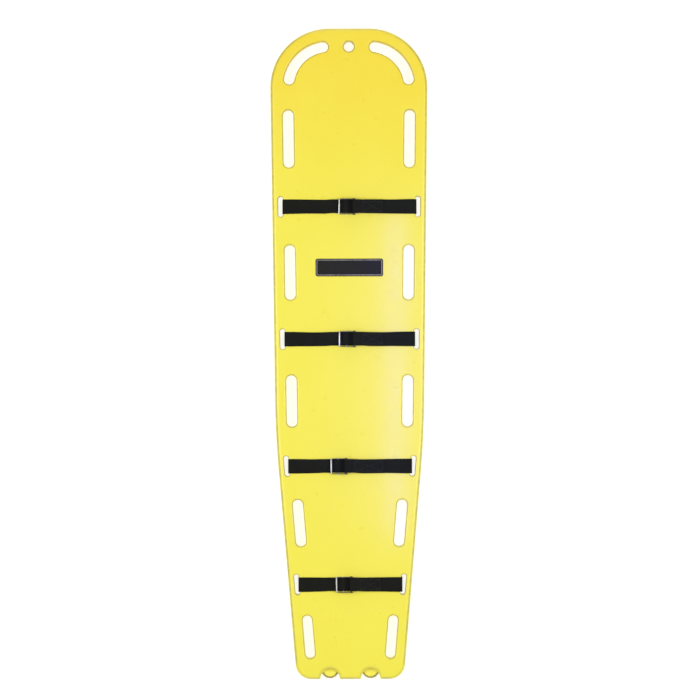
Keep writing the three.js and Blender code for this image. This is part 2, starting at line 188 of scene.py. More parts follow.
def top_height(x, y):
    """Height of the top face: a shallow hollow along the board that fades out at both ends."""
    past_bend = y - at_head(BEND)
    reach = DISH_REACH * (BEND_HALF + np.where(past_bend > 0, SIDE_TAPER, FOOT_TAPER) * past_bend)
    across = np.clip(np.abs(x) / reach, 0, 1)
    fade = smooth((at_head(70) - y) / 150) * smooth((y + HEAD_EDGE - 60) / 130)
    return TOP - DISH_DEPTH * (1 - across**2) ** 2 * fade


def runner_distance(x, y):
    """Plan distance to the nearest straight stretch of runner, each with a break where a strap passes."""
    breaks = [HEAD_EDGE - STRAP_Y[name] for name in STRAPS]
    starts = [RUNNER_START] + [b + RUNNER_CLEAR for b in breaks]
    ends = [b - RUNNER_CLEAR for b in breaks] + [LENGTH - NOSE_FROM_FOOT]
    best = FAR
    for start, end in zip(starts, ends):
        qx = np.abs(x - RUNNER_X) - RUNNER_WIDTH / 2 + RUNNER_CORNER
        qy = np.abs(y - at_head((start + end) / 2)) - (end - start) / 2 + RUNNER_CORNER
        edge = np.hypot(np.maximum(qx, 0), np.maximum(qy, 0)) + np.minimum(np.maximum(qx, qy), 0)
        best = np.minimum(best, edge - RUNNER_CORNER)
    return best


def board_distance(x, y, z):
    """Signed distance to the moulded shell's outer surface."""
    x = np.abs(x)
    plan = round_and(outline_distance(x, y), -notch(x, y), NOTCH_ROUND)
    slab = np.maximum(z - top_height(x, y), UNDERSIDE - z)
    body = round_and(plan, slab, EDGE_ROUND)
    grips = np.minimum(corner_hold(x, y), np.hypot(x, y - at_head(HANG_HOLE[0])) - HANG_HOLE[1])
    for from_head, length, width, inset in HANDHOLDS:
        grips = np.minimum(grips, capsule(x, y, from_head, inset, length, width))
    slots = FAR
    for name in STRAPS:
        from_head = HEAD_EDGE - STRAP_Y[name]
        slots = np.minimum(slots, capsule(x, y, from_head, SLOT_INSET, SLOT_LENGTH, SLOT_WIDTH))
    body = round_and(body, -grips, HAND_RIM)
    body = round_and(body, -slots, SLOT_RIM)
    runner = np.maximum(round_and(runner_distance(x, y), -z, RUNNER_BEVEL), z - UNDERSIDE - RUNNER_SINK)
    body = round_or(body, runner, RUNNER_FILLET)
    foot = -HEAD_EDGE + NOSE_FROM_FOOT
    round_end = np.hypot(x - RUNNER_X, np.minimum(y - foot, 0)) - NOSE_RADIUS
    nose = np.maximum(round_end, y - foot - NOTCH_DEPTH / 2)
    nose = round_and(nose, np.maximum(-z, z - NOSE_TOP), NOSE_ROUND)
    return np.maximum(round_or(body, nose, NOSE_FILLET), -z)


# ------------------------------------------------------------------ mesh helpers


def mesh_object(name, points, faces, scale=MM):
    """A smooth-shaded object from vertex points and one or more arrays of equal-sided faces."""
    faces = [np.asarray(block, np.int32) for block in faces if len(block)]
    sides = np.concatenate([np.full(len(block), block.shape[1], np.int32) for block in faces])
    loops = np.concatenate([block.ravel() for block in faces])
    mesh = bpy.data.meshes.new(name)
    mesh.vertices.add(len(points))
    mesh.vertices.foreach_set("co", (np.asarray(points, np.float64) * scale).astype(np.float32).ravel())
    mesh.loops.add(len(loops))
    mesh.loops.foreach_set("vertex_index", loops)
    mesh.polygons.add(len(sides))
    mesh.polygons.foreach_set("loop_start", np.concatenate([[0], np.cumsum(sides)[:-1]]).astype(np.int32))
    mesh.update(calc_edges=True)
    mesh.validate()
    mesh.shade_smooth()
    obj = bpy.data.objects.new(name, mesh)
    bpy.context.scene.collection.objects.link(obj)
    return obj


def loft(name, rings, uv=None, sharp=45):
    """A closed body through rings of equal point counts, each end closed to its middle.

    uv gives a pair of metre values for every ring point, kept as the layer "weave".
    """
    rings = np.asarray(rings, float)
    count, size = rings.shape[:2]
    points = np.concatenate([rings.reshape(-1, 3), rings[[0, -1]].mean(1)])
    turn = np.arange(size)
    after = np.roll(turn, -1)
    base = (np.arange(count - 1) * size)[:, None]
    quads = np.stack([base + turn, base + after, base + size + after, base + size + turn], 2).reshape(-1, 4)
    first, last = count * size, count * size + 1
    low = np.stack([after, turn, np.full(size, first)], 1)
    high = np.stack([turn, after, np.full(size, last)], 1) + [[(count - 1) * size] * 2 + [0]]
    obj = mesh_object(name, points, [quads, low, high])
    mesh = obj.data
    bm = bmesh.new()
    bm.from_mesh(mesh)
    bmesh.ops.recalc_face_normals(bm, faces=bm.faces)
    bm.to_mesh(mesh)
    bm.free()
    mesh.set_sharp_from_angle(angle=math.radians(sharp))
    if uv is not None:
        flat = np.asarray(uv, float).reshape(-1, 2)
        ends = np.asarray(uv, float)[[0, -1]].mean(1)
        flat = np.concatenate([flat, ends])
        corner = np.empty(len(mesh.loops), np.int32)
        mesh.loops.foreach_get("vertex_index", corner)
        mesh.uv_layers.new(name="weave").data.foreach_set("uv", flat[corner].astype(np.float32).ravel())
    return obj


def turned(name, profile, centre, axis="Y", segments=32, flute=0.0, teeth=1):
    """A turned body from (radius, position along the axis, fluted?) steps about an axis through centre."""
    angle = np.arange(segments) * 2 * math.pi / segments
    rings = []
    for radius, place, fluted in profile:
        r = radius - (flute * (np.cos(angle * teeth) * 0.5 + 0.5) if fluted else 0)
        across, up, along = r * np.cos(angle), r * np.sin(angle), np.full(segments, place)
        columns = [across, along, up] if axis == "Y" else [across, up, along]
        rings.append(np.stack(columns, 1) + centre)
    return loft(name, rings, sharp=38)


def place(obj, body, finish, slot, *nodes):
    obj.data.materials.clear()
    obj.data.materials.append(finish)
    if body is not None:
        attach(obj, body)
    if nodes:
        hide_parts(*nodes)
    return obj


# ------------------------------------------------------------------ finishes


class Finish:
    """A Principled material and short calls for the nodes that feed it."""

    def __init__(self, name, **sockets):
        self.material = bpy.data.materials.new(name)
        self.material.use_nodes = True
        self.tree = self.material.node_tree
        self.shader = self.tree.nodes["Principled BSDF"]
        for key, value in sockets.items():
            self.shader.inputs[key.replace("_", " ")].default_value = value

    def node(self, kind, inputs=(), output=0, **settings):
        made = self.tree.nodes.new("ShaderNode" + kind)
        for key, value in settings.items():
            setattr(made, key, value)
        for key, value in dict(inputs).items():
            if isinstance(value, bpy.types.NodeSocket):
                self.tree.links.new(value, made.inputs[key])
            else:
                made.inputs[key].default_value = value
        return made.outputs[output]

    def feed(self, socket, value):
        self.tree.links.new(value, self.shader.inputs[socket])

    def math(self, operation, a, b=0.0, c=0.0):
        return self.node("Math", {0: a, 1: b, 2: c}, operation=operation)

    def remap(self, value, low, high, to_low, to_high, kind="LINEAR"):
        inputs = {0: value, 1: low, 2: high, 3: to_low, 4: to_high}
        return self.node("MapRange", inputs, interpolation_type=kind, clamp=True)

    def mix(self, factor, a, b):
        return self.node("Mix", {0: factor, 6: a, 7: b}, output=2, data_type="RGBA")

    def noise(self, vector, scale, detail=3.0, roughness=0.55):
        inputs = {"Vector": vector, "Scale": scale, "Detail": detail, "Roughness": roughness}
        return self.node("TexNoise", inputs)

    def stretched(self, vector, scale):
        return self.node("Mapping", {"Vector": vector, "Scale": scale})

    def bump(self, height, strength, distance, normal=None):
        inputs = {"Strength": strength, "Distance": distance, "Height": height}
        if normal is not None:
            inputs["Normal"] = normal
        return self.node("Bump", inputs)

    def place(self):
        return self.node("TexCoord", output=3)


def moulded_finish():
    """Yellow polyethylene: flow mottling, orange peel, parting line, painted shade on rolled edges and round
    the runner ends' rims, painted light on the runner ends, fine scratches.
    """
    f = Finish("moulded_yellow", Specular_IOR_Level=0.5, IOR=1.5)
    where = f.place()
    broad = f.remap(f.noise(where, 5.0, 4.0), 0.35, 0.65, 0.0, 1.0)
    along = f.node("SeparateXYZ", {0: where}, output=1)
    towards_head = f.remap(along, 0.30, 0.85, 0.0, 1.0, "SMOOTHSTEP")
    colour = f.mix(towards_head, (0.818, 0.736, 0.060, 1), (0.850, 0.667, 0.041, 1))
    colour = f.mix(f.math("MULTIPLY", broad, 0.35), colour, (0.86, 0.77, 0.075, 1))
    speck = f.remap(f.noise(where, 420.0, 2.0), 0.62, 0.75, 0.0, 0.25)
    colour = f.mix(speck, colour, (0.86, 0.80, 0.14, 1))
    height = f.node("SeparateXYZ", {0: where}, output=2)
    # The two runner ends at the foot are painted lighter than the board above them: painted light over the
    # shade they sit in below the deck.
    low = f.remap(height, NOSE_TOP * MM + 0.001, NOSE_TOP * MM + 0.003, 0.8, 0.0)
    painted_light_runner_end = f.math("MULTIPLY", low, f.remap(along, -0.896, -0.888, 1.0, 0.0))
    colour = f.mix(painted_light_runner_end, colour, (0.97, 0.89, 0.12, 1))
    upright = f.math("ABSOLUTE", f.node("SeparateXYZ", {0: f.node("NewGeometry", output=1)}, output=2))
    # Painted shade darkens the colour where the surface rolls over, less so at the head end's rim and round
    # the runner notches.
    rolling = f.remap(upright, 0.78, 0.96, 1.0, 0.0, "SMOOTHSTEP")
    edge = f.math("MULTIPLY", rolling, f.remap(upright, 0.28, 0.62, 0.12, 1.0, "SMOOTHSTEP"))
    edge = f.math("MULTIPLY", edge, f.remap(along, 0.875, 0.905, 1.0, 0.45, "SMOOTHSTEP"))
    notched = f.remap(along, -0.880, -0.864, 0.40, 1.0, "SMOOTHSTEP")
    foot_rim = f.remap(along, -0.912, -0.906, 0.95, 0.0, "SMOOTHSTEP")
    edge = f.math("MULTIPLY", edge, f.math("MAXIMUM", notched, foot_rim))
    # Painted shade: the rolled edges are mixed towards a dark olive, broken up by noise.
    ragged_edge_shade = f.math("MULTIPLY", edge, f.remap(f.noise(where, 60.0, 5.0, 0.7), 0.4, 0.62, 0.6, 1.0))
    colour = f.mix(f.math("MULTIPLY", ragged_edge_shade, 0.85), colour, (0.39, 0.32, 0.070, 1))
    # Painted shade: a dark band round the rims of the two runner ends.
    nose_shade = f.node("Attribute", output=2, attribute_name="nose_shade")
    shaded_nose_rim = f.math("MULTIPLY", nose_shade, f.remap(f.noise(where, 110.0, 5.0, 0.7), 0.3, 0.6, 0.55, 1.0))
    colour = f.mix(shaded_nose_rim, colour, (0.20, 0.16, 0.032, 1))
    lines = []
    for turn, seed in ((0.5, 0.0), (-0.9, 3.1)):
        spun = f.node("Mapping", {"Vector": where, "Rotation": (0, 0, turn), "Location": (seed, seed, 0)})
        thin = f.noise(f.stretched(spun, (9.0, 700.0, 9.0)), 1.0, 2.0, 0.4)
        patch = f.remap(f.noise(spun, 7.0, 1.0), 0.5, 0.68, 0.0, 1.0)
        lines.append(f.math("MULTIPLY", f.remap(thin, 0.69, 0.74, 0.0, 1.0), patch))
    scratch = f.math("MAXIMUM", *lines)
    colour = f.mix(f.math("MULTIPLY", scratch, 0.16), colour, (0.88, 0.84, 0.30, 1))
    f.feed("Base Color", colour)
    dull = f.remap(f.noise(where, 30.0, 4.0), 0.3, 0.7, 0.27, 0.34)
    dull = f.math("ADD", dull, f.math("MULTIPLY", scratch, 0.12))
    f.feed("Roughness", f.math("ADD", dull, f.math("MULTIPLY", ragged_edge_shade, 0.08)))
    peel = f.noise(where, 260.0, 3.0, 0.5)
    from_seam = f.math("ABSOLUTE", f.math("SUBTRACT", height, PARTING_HEIGHT * MM))
    seam = f.remap(from_seam, 0.0, 0.0009, 1.0, 0.0, "SMOOTHSTEP")
    normal = f.bump(seam, 0.8, 0.0004)
    normal = f.bump(peel, 0.25, 0.0004, normal)
    f.feed("Normal", f.bump(scratch, 0.12, -0.0001, normal))
    return f.material


def foam_finish():
    """Closed-cell foam: small rounded cells and uneven cream colour."""
    f = Finish("core_foam", Roughness=0.95)
    where = f.place()
    cells = f.node("TexVoronoi", {"Vector": where, "Scale": 420.0})
    shade = f.mix(f.noise(where, 18.0, 4.0), (0.66, 0.58, 0.36, 1), (0.78, 0.71, 0.48, 1))
    f.feed("Base Color", f.mix(f.remap(cells, 0.0, 0.6, 0.0, 0.5), shade, (0.55, 0.47, 0.28, 1)))
    f.feed("Roughness", f.remap(cells, 0.0, 0.6, 0.88, 0.98))
    f.feed("Normal", f.bump(cells, 0.6, 0.001))
    return f.material


def webbing_finish():
    """Woven black webbing: lengthwise ribs crossed by weft, in metres along and across the strip."""
    dark, light, ribs = (0.0027, 0.0030, 0.0016, 1), (0.0125, 0.0132, 0.0072, 1), 13
    f = Finish("nylon_webbing", Sheen_Weight=0.04, Sheen_Roughness=0.5, Specular_IOR_Level=0.12)
    weave = f.node("UVMap", uv_map="weave")
    along = f.node("SeparateXYZ", {0: weave}, output=0)
    across = f.node("SeparateXYZ", {0: weave}, output=1)
    count = f.math("MULTIPLY_ADD", across, ribs / (2 * WEB_HALF * MM), ribs / 2)
    offset = f.math("SUBTRACT", f.math("FRACT", count), 0.5)
    rib = f.math("SUBTRACT", 1.0, f.math("MULTIPLY", f.math("MULTIPLY", offset, offset), 4.0))
    parity = f.math("MODULO", f.math("FLOOR", count), 2.0)
    phase = f.math("MULTIPLY_ADD", along, 2 * math.pi / WEFT_PITCH, f.math("MULTIPLY", parity, math.pi))
    weft = f.math("MULTIPLY_ADD", f.math("SINE", phase), 0.5, 0.5)
    height = f.math("ADD", f.math("MULTIPLY", rib, 0.65), f.math("MULTIPLY", weft, 0.35))
    fuzz = f.noise(f.stretched(weave, (500.0, 1400.0, 1.0)), 1.0, 3.0)
    patch = f.noise(weave, 22.0, 4.0)
    tone = f.math("MULTIPLY", f.remap(height, 0.1, 1.0, 0.15, 1.0), f.remap(fuzz, 0.3, 0.7, 0.55, 1.0))
    colour = f.mix(f.math("MULTIPLY", tone, f.remap(patch, 0.35, 0.65, 0.7, 1.0)), dark, light)
    f.feed("Base Color", colour)
    f.feed("Roughness", f.remap(tone, 0.0, 1.0, 0.92, 0.74))
    normal = f.bump(height, 0.75, 0.00035)
    f.feed("Normal", f.bump(fuzz, 0.35, 0.00012, normal))
    return f.material


def thread_finish():
    """Waxed black thread with a fine twist."""
    f = Finish("bonded_thread", Sheen_Weight=0.1, Specular_IOR_Level=0.3)
    where = f.place()
    twist = f.noise(f.stretched(where, (900.0, 900.0, 900.0)), 1.0, 2.0)
    f.feed("Base Color", f.mix(twist, (0.009, 0.009, 0.008, 1), (0.032, 0.032, 0.030, 1)))
    f.feed("Roughness", f.remap(twist, 0.3, 0.7, 0.55, 0.75))
    f.feed("Normal", f.bump(twist, 0.5, 0.0002))
    return f.material


def steel_finish():
    """Zinc-plated steel: brushed along the frame, with dull handling marks."""
    f = Finish("plated_steel", Metallic=1.0)
    where = f.place()
    grain = f.noise(f.stretched(where, (260.0, 2600.0, 1200.0)), 1.0, 3.0)
    marks = f.remap(f.noise(where, 130.0, 5.0, 0.65), 0.45, 0.7, 0.0, 1.0)
    colour = f.mix(grain, (0.62, 0.62, 0.56, 1), (0.73, 0.72, 0.64, 1))
    colour = f.mix(f.math("MULTIPLY", marks, 0.5), colour, (0.50, 0.50, 0.47, 1))
    # Painted shade: where this mask is low (a frame beyond its end bar) the steel is painted nearly black;
    # the end bar's band stays bright from wear.
    polish_and_shade = f.node("Attribute", output=2, attribute_name="polish_and_shade")
    f.feed("Base Color", f.mix(polish_and_shade, (0.075, 0.073, 0.062, 1), colour))
    rough = f.math("ADD", f.remap(grain, 0.3, 0.7, 0.20, 0.30), f.math("MULTIPLY", marks, 0.12))
    f.feed("Roughness", f.math("ADD", rough, f.remap(polish_and_shade, 0.0, 1.0, 0.18, 0.0)))
    f.feed("Normal", f.bump(grain, 0.12, 0.0001))
    return f.material


def plug_finish():
    """Pressed plug in a slightly duller yellow, with fine turning rings and grime."""
    f = Finish("plug_plastic", Specular_IOR_Level=0.4)
    where = f.place()
    grime = f.remap(f.noise(where, 90.0, 5.0, 0.65), 0.45, 0.7, 0.0, 0.6)
    f.feed("Base Color", f.mix(grime, (0.74, 0.64, 0.07, 1), (0.52, 0.45, 0.08, 1)))
    f.feed("Roughness", f.remap(grime, 0.0, 0.6, 0.42, 0.58))
    f.feed("Normal", f.bump(f.noise(where, 700.0, 2.0), 0.2, 0.0002))
    return f.material


def label_finish():
    """Plain printed panel: a dark field inside a pale keyline, on faintly textured film."""
    f = Finish("label_film", Specular_IOR_Level=0.12)
    where = f.place()
    inset = 0.0075
    reach = []
    for side, middle, half in ((0, 0.0, LABEL_HALF_X), (1, LABEL_Y, LABEL_HALF_Y)):
        along = f.node("SeparateXYZ", {0: where}, output=side)
        away = f.math("ABSOLUTE", f.math("SUBTRACT", along, middle * MM))
        reach.append(f.math("SUBTRACT", away, half * MM - inset))
    rounded = [f.math("MAXIMUM", side, 0.0) for side in reach]
    corner = f.math("SQRT", f.math("ADD", *(f.math("MULTIPLY", side, side) for side in rounded)))
    flat = f.math("MINIMUM", f.math("MAXIMUM", *reach), 0.0)
    from_edge = f.math("SUBTRACT", f.math("ADD", corner, flat), 0.0035)
    line = f.remap(f.math("ABSOLUTE", from_edge), 0.0005, 0.0008, 1.0, 0.0)
    ink = f.mix(f.noise(where, 300.0, 3.0), (0.009, 0.009, 0.006, 1), (0.021, 0.020, 0.014, 1))
    worn = f.math("MULTIPLY", line, f.remap(f.noise(where, 240.0, 4.0), 0.35, 0.6, 0.5, 1.0))
    f.feed("Base Color", f.mix(worn, ink, (0.50, 0.47, 0.36, 1)))
    wear = f.noise(where, 50.0, 4.0)
    f.feed("Roughness", f.remap(wear, 0.3, 0.7, 0.46, 0.60))
    f.feed("Normal", f.bump(f.noise(where, 900.0, 2.0), 0.1, 0.0001))
    return f.material


WEB_HALF, WEB_THICK, GAP = 19.0, 1.3, 0.3  # webbing's half width, its thickness, the space between layers
WEFT_PITCH = 0.0024  # metres between picks of the weave
label_lo, label_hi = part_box("id_label")
LABEL_Y = (label_lo.y + label_hi.y) / 2 / MM
LABEL_HALF_X = (label_hi.x - label_lo.x) / 2 / MM
LABEL_HALF_Y = (label_hi.y - label_lo.y) / 2 / MM
YELLOW = moulded_finish()
FOAM = foam_finish()
WEBBING = webbing_finish()
THREAD = thread_finish()
STEEL = steel_finish()
PLUG = plug_finish()
LABEL = label_finish()

# ------------------------------------------------------------------ moulded shell


def surface_net(field, axes):
    """Vertices and outward quads of the zero level of a field sampled on a grid."""
    inside = field < 0
    shape = [n - 1 for n in field.shape]
    count = np.zeros(shape, np.int8)
    for i, j, k in np.ndindex(2, 2, 2):
        count += inside[i : i + shape[0], j : j + shape[1], k : k + shape[2]]
    active = (count > 0) & (count < 8)
    cells = np.argwhere(active)
    index = np.full(shape, -1, np.int32)
    index[active] = np.arange(len(cells))
    total = np.zeros((len(cells), 3))
    hits = np.zeros(len(cells))
    quads = []
    for axis in range(3):
        u, v = (axis + 1) % 3, (axis + 2) % 3
        for du, dv in np.ndindex(2, 2):
            low = cells.copy()
            low[:, u] += du
            low[:, v] += dv
            high = low.copy()
            high[:, axis] += 1
            a, b = field[tuple(low.T)], field[tuple(high.T)]
            cross = (a < 0) != (b < 0)
            t = np.where(cross, a / np.where(cross, a - b, 1), 0)
            point = np.stack([axes[k][low[:, k]] for k in range(3)], 1)
            point[:, axis] += t * (axes[axis][high[:, axis]] - axes[axis][low[:, axis]])
            total += point * cross[:, None]
            hits += cross
        before = np.take(inside, range(field.shape[axis] - 1), axis)
        after = np.take(inside, range(1, field.shape[axis]), axis)
        edges = np.argwhere(before != after)
        out = before[tuple(edges.T)]
        step_u, step_v = np.eye(3, dtype=int)[[u, v]]
        ring = [edges - step_u - step_v, edges - step_v, edges, edges - step_u]
        quad = np.stack([index[tuple(c.T)] for c in ring], 1)
        quads.append(np.where(out[:, None], quad, quad[:, ::-1]))
    return total / hits[:, None], np.concatenate(quads)


def slope_at(points, step=0.4):
    """Distance and its gradient at points on the board."""
    here = board_distance(*points.T)
    sides = []
    for axis in range(3):
        ahead = points.copy()
        ahead[:, axis] += step
        behind = points.copy()
        behind[:, axis] -= step
        sides.append((board_distance(*ahead.T) - board_distance(*behind.T)) / (2 * step))
    return here, np.stack(sides, 1)


def painted_nose_shade(points):
    """How much painted shade each point gets: a band round the rim of the two runner ends, fading down their
    walls.
    """
    band, onset, fade_start, fade_end = 7.5, 3.5, 22, 6
    x, y, z = points.T
    from_centre = np.hypot(np.abs(x) - RUNNER_X, y + HEAD_EDGE - NOSE_FROM_FOOT)
    low_end = smooth((NOSE_TOP + 1.6 - z) / 2) * (y < -HEAD_EDGE + NOSE_FROM_FOOT - 4)
    low_end *= 0.25 + 0.75 * smooth((z - NOSE_TOP + fade_start) / (fade_start - fade_end))
    return smooth((from_centre - NOSE_RADIUS + band) / onset) * low_end * (from_centre < NOSE_RADIUS + 1)


SHELL_GRID = 2.5  # mm between samples in plan
FLAT_SHARE_DROPPED, WALL_SHARE_KEPT = 0.97, 0.69  # how far the flat faces, then the rest, are thinned out


def board_moulding():
    """The shell's outer surface, thinned out where flat or straight, then settled onto its exact shape."""
    across, along = (math.ceil(reach / SHELL_GRID) + 2 for reach in (hi.x / MM, HEAD_EDGE))
    xs = np.arange(-across, across + 1) * SHELL_GRID
    ys = np.arange(-along, along + 1) * SHELL_GRID
    below = [-2, 1.2, 3.0, 5.4, 8.0, 10.6, 13.0, 16, 19.5, 23, 27]
    above = [33, 38, 41, 44, 46.2, 48.2, 50.6, 53.0]
    zs = np.array(below + above)  # closer together at the rounded edges
    field = board_distance(xs[:, None, None], ys[None, :, None], zs[None, None, :])
    points, quads = surface_net(field, [xs, ys, zs])
    dense = mesh_object("dense", points, [quads], 1.0)
    level = np.abs(slope_at(points)[1][:, 2]) > 0.999
    # A point counts as flat only when every face within three rings of it is.
    for _ in range(3):
        flat_face = level[quads].all(1)
        level = np.ones(len(points), bool)
        for k in range(4):
            np.logical_and.at(level, quads[:, k], flat_face)
    dense.vertex_groups.new(name="flat").add([int(i) for i in np.nonzero(level)[0]], 1.0, "REPLACE")
    thin = dense.modifiers.new("thin", "DECIMATE")
    thin.ratio = 1 - FLAT_SHARE_DROPPED * level.mean()
    thin.vertex_group = "flat"
    thin.vertex_group_factor = 1000
    straight = dense.modifiers.new("straight", "DECIMATE")
    straight.ratio = WALL_SHARE_KEPT
    graph = bpy.context.evaluated_depsgraph_get()
    mesh = bpy.data.meshes.new_from_object(dense.evaluated_get(graph))
    bpy.data.objects.remove(dense)
    points = np.empty(len(mesh.vertices) * 3)
    mesh.vertices.foreach_get("co", points)
    points = points.reshape(-1, 3)
    for _ in range(2):
        value, slope = slope_at(points)
        points -= slope * (value / np.maximum((slope**2).sum(1), 0.2))[:, None]
    slope = slope_at(points)[1]
    normals = slope / np.maximum(np.linalg.norm(slope, axis=1), 1e-6)[:, None]
    mesh.vertices.foreach_set("co", (points * MM).ravel())
    mesh.update()
    mesh.shade_smooth()
    mesh.normals_split_custom_set_from_vertices(normals)
    # Painted shade mask for the runner ends' rims, kept as a point attribute.
    nose_shade = painted_nose_shade(points)
    mesh.attributes.new("nose_shade", "FLOAT", "POINT").data.foreach_set("value", nose_shade.astype(np.float32))
    obj = bpy.data.objects.new("moulded_shell", mesh)
    bpy.context.scene.collection.objects.link(obj)
    return obj


place(board_moulding(), "board", YELLOW, "moulded_shell", "board_shell")
foam_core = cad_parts["foam_core"]
foam_core.data.materials.clear()
foam_core.data.materials.append(FOAM)

# ------------------------------------------------------------------ plugs and label


def plug_cap(node):
    """A pressed plug: rolled flange, shallow dished face with a raised ring, and a barbed stem."""
    low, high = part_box(node)
    flange = (high.x - low.x) / 2 / MM
    stem = PORTS[node] - 0.3
    bottom, top = low.z / MM, high.z / MM
    seat = UNDERSIDE - 0.3
    profile = [
        (0.18 * flange, bottom + 0.5, 0),
        (0.42 * flange, bottom + 0.45, 0),
        (0.48 * flange, bottom + 0.1, 0),
        (0.56 * flange, bottom + 0.1, 0),
        (0.62 * flange, bottom + 0.45, 0),
        (0.78 * flange, bottom + 0.4, 0),
        (0.86 * flange, bottom, 0),
        (0.93 * flange, bottom, 0),
        (flange - 0.25, bottom + 0.25, 0),
        (flange, bottom + 0.7, 0),
        (flange, seat - 0.2, 0),
        (flange - 0.2, seat, 0),
        (stem, seat, 0),
        (stem - 0.3, seat + 0.6, 0),
        (stem, top - 0.9, 0),
        (stem - 0.8, top, 0),
        (0.3 * stem, top, 0),
    ]
    centre = (0, (low.y + high.y) / 2 / MM, 0)
    return turned(node + "_cap", profile, centre, axis="Z", segments=40)


for node in PORTS:
    place(plug_cap(node), "board", PLUG, "plug", node)


def label_film():
    """A thin rounded panel that follows the hollow of the board's top."""
    corner, film = 6.0, 0.2
    inner = np.array((LABEL_HALF_X - corner, LABEL_HALF_Y - corner))
    outline = []
    for quarter, side in enumerate(((1, 1), (-1, 1), (-1, -1), (1, -1))):
        for a in np.linspace(quarter, quarter + 1, 7) * math.pi / 2:
            outline.append(inner * side + corner * np.array((math.cos(a), math.sin(a))))
        onward = ((-1, 1), (-1, -1), (1, -1), (1, 1))[quarter]
        step = (np.array(onward) - side) * inner
        corner_end = outline[-1]
        for t in np.linspace(0, 1, 14)[1:-1]:
            outline.append(corner_end + step * t)
    x, y = np.array(outline).T
    rings = []
    edge = [(0.3, 0.02), (0.9, 0.02), (1.0, 0.02), (1.0, 0.7 * film), (0.996, film)]
    face = [(shrink, film) for shrink in (0.9, 0.75, 0.6, 0.45, 0.3, 0.15, 0.03)]
    for shrink, lift in edge + face:
        across, along = x * shrink, y * shrink + LABEL_Y
        rings.append(np.stack([across, along, top_height(across, along) + lift], 1))
    return loft("id_panel", rings)


place(label_film(), "board", LABEL, "label", "id_label")

# ------------------------------------------------------------------ strap webbing

TAB_END = {"chest": 96, "hip": 96, "thigh": 96, "shin": 88}  # how far right the sewn tab reaches
TAIL_STOP = 40.0  # the tucked tail ends this far short of the left slot
LEAD = 100.0  # how much webbing before the buckle's end bar is cut off as its own piece
HALF_THICK = WEB_THICK / 2
PIN_RADIUS, BAR_RADIUS = 2.5, 3.0
SELVEDGE = [(18.97, 0.16), (18.8, 0.44), (18.35, HALF_THICK)]  # (across, up) round the rolled edge
TAB_FROM_PIN, TAB_INSET, STITCH_HALF, STITCH_PITCH = 25, 4, 14, 4.0


def layer(count):
    """Distance from a face of the board to the middle of the webbing's nth layer on it."""
    return GAP + WEB_THICK / 2 + (count - 1) * (WEB_THICK + GAP)


def rounded_route(corners):
    """A route through corner points (x, z, radius), with its straights divided."""
    points = [np.array(corner[:2], float) for corner in corners]
    route = [points[0]]

    def extend(point):
        step = point - route[-1]
        size = np.hypot(*step)
        if size > 0.01:
            parts = max(1, round(size / 6))
            start = route[-1]
            route.extend(start + step * (i + 1) / parts for i in range(parts))

    for i in range(1, len(points) - 1):
        before = points[i] - points[i - 1]
        after = points[i + 1] - points[i]
        before /= np.hypot(*before)
        after /= np.hypot(*after)
        turn = math.atan2(before[0] * after[1] - before[1] * after[0], before @ after)
        radius = corners[i][2]
        start = points[i] - before * radius * math.tan(abs(turn) / 2)
        hub = start + np.array((-before[1], before[0])) * math.copysign(radius, turn)
        steps = max(2, round(abs(turn) / math.radians(12)))
        for a in np.linspace(0, turn, steps + 1):
            c, s = math.cos(a), math.sin(a)
            arm = start - hub
            extend(hub + np.array((arm[0] * c - arm[1] * s, arm[0] * s + arm[1] * c)))
    extend(points[-1])
    return np.array(route)


def strap_facts(name):
    """Where a strap's pieces are, in millimetres, from the frame."""
    frame_lo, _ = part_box(f"{name}_buckle_frame")
    pin = sum(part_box(f"{name}_buckle_pin"), Vector()) / 2 / MM
    bar = sum(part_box(f"{name}_buckle_slide_bar"), Vector()) / 2 / MM
    return {"left": frame_lo.x / MM, "pin": pin, "bar": bar, "after": bar.x + 12, "y": STRAP_Y[name]}


def strap_route(name):
    """A strap's route in its own plane, from the sewn tab to the tucked tail, and its slot's inner edge."""
    at = strap_facts(name)
    from_head = HEAD_EDGE - at["y"]
    lean = taper_at(from_head) * WEB_HALF
    slot_edge = half_width_at(from_head) - SLOT_INSET - SLOT_WIDTH / 2 + lean
    top = lambda count: TOP + layer(count)
    under = lambda count: UNDERSIDE - layer(count)
    outside = lambda count: slot_edge + layer(count)
    turn = lambda count: 3 + layer(count)
    pin_x, pin_z, pin_wrap = at["pin"].x, at["pin"].z, PIN_RADIUS + GAP + HALF_THICK
    bar_x, bar_wrap, crest = at["bar"].x, BAR_RADIUS + GAP + HALF_THICK, 2.0
    bar_top = at["bar"].z + bar_wrap
    climb = (bar_top - top(1)) / math.tan(2 * math.atan(crest / bar_wrap))
    tail_end = -outside(1) + TAIL_STOP
    route = rounded_route([
        (TAB_END[name], top(3)),
        (pin_x + 20, top(3), 12),
        (pin_x + 4, pin_z + pin_wrap, 12),
        (pin_x - pin_wrap, pin_z + pin_wrap, pin_wrap),
        (pin_x - pin_wrap, top(2), pin_wrap),
        (outside(2), top(2), turn(2)),
        (outside(2), under(2), turn(2)),
        (tail_end - 6, under(2), 12),
        (tail_end - 18, under(1), 12),
        (-outside(1), under(1), turn(1)),
        (-outside(1), top(1), turn(1)),
        (bar_x - crest - climb, top(1), 2.4),
        (bar_x - crest, bar_top, bar_wrap),
        (bar_x + crest, bar_top, bar_wrap),
        (bar_x + crest + climb, top(1), 2.4),
        (outside(1), top(1), turn(1)),
        (outside(1), under(1), turn(1)),
        (tail_end, under(1)),
    ])
    return route, slot_edge


